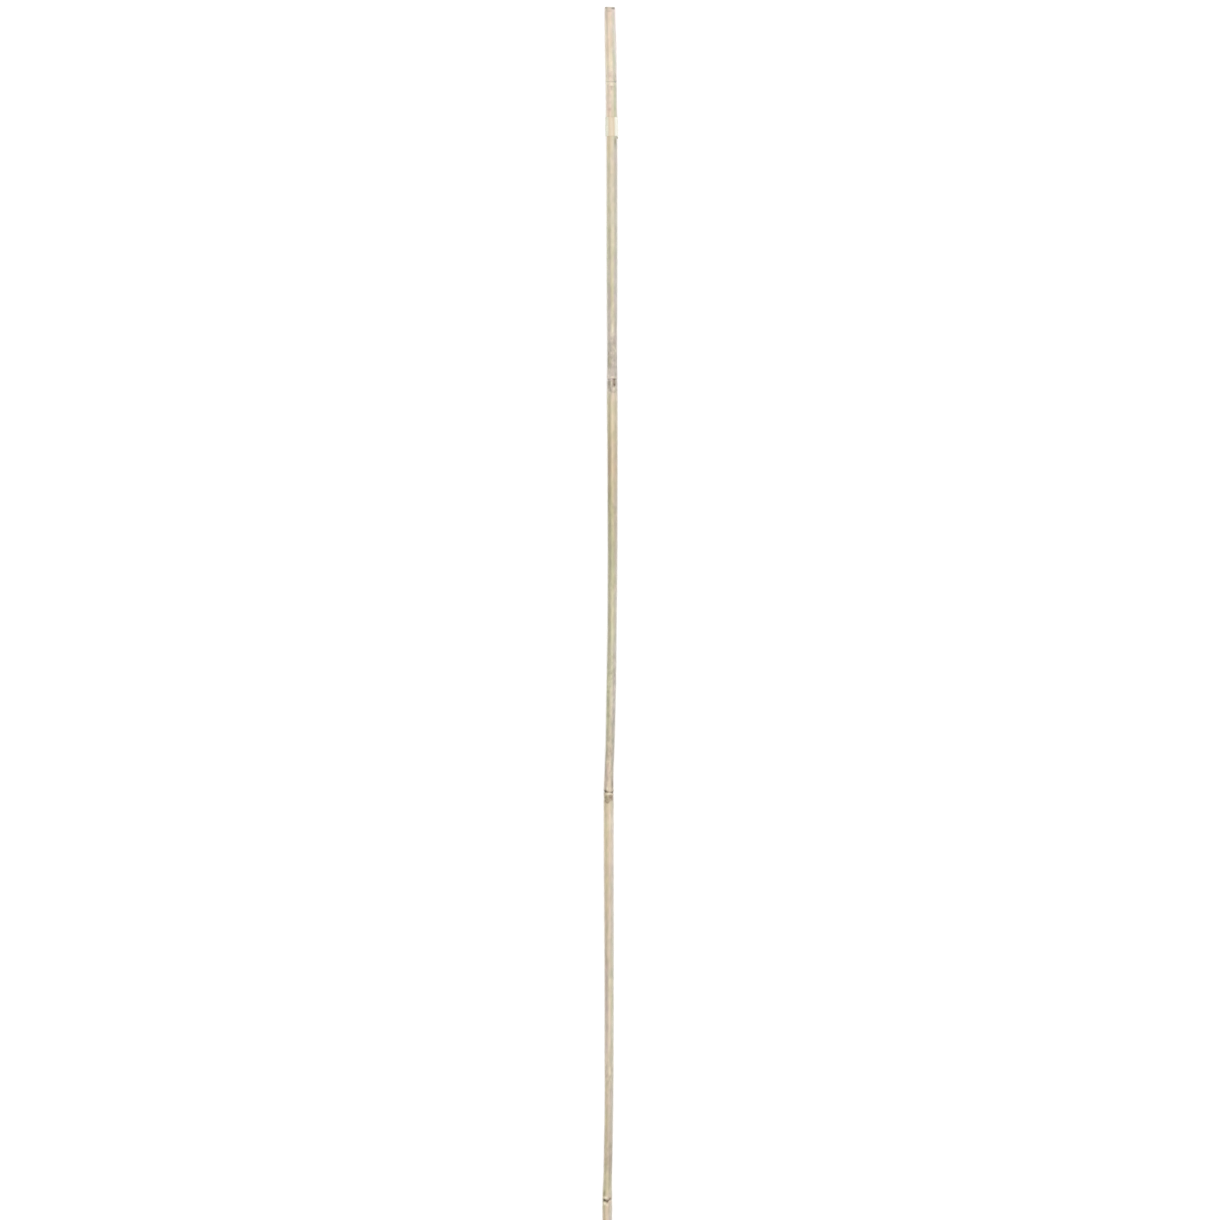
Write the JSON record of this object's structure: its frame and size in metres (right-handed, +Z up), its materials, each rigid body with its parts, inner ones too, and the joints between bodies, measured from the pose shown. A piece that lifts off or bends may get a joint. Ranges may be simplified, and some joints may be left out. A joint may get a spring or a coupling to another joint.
{
  "type": "bamboo cane",
  "caption": "Slender cut bamboo culm with ringed joints, a gentle bow and a plain film label near its thick end; holds up a plant.",
  "frame": {"origin": "middle of the cane's footprint, on the surface it lies on", "axes": "+Y runs along the cane towards its thick end, +Z is up, +X is to the right when it is seen from above with the thick end away from the viewer"},
  "size_m": [0.015, 1.2, 0.0115],
  "materials": {
    "cane_skin": "smooth, silky natural skin",
    "film": "milky, lightly glossy film"
  },
  "bodies": {
    "root": {"cane": "cane_skin", "label_film": "film"}
  },
  "joints": []
}
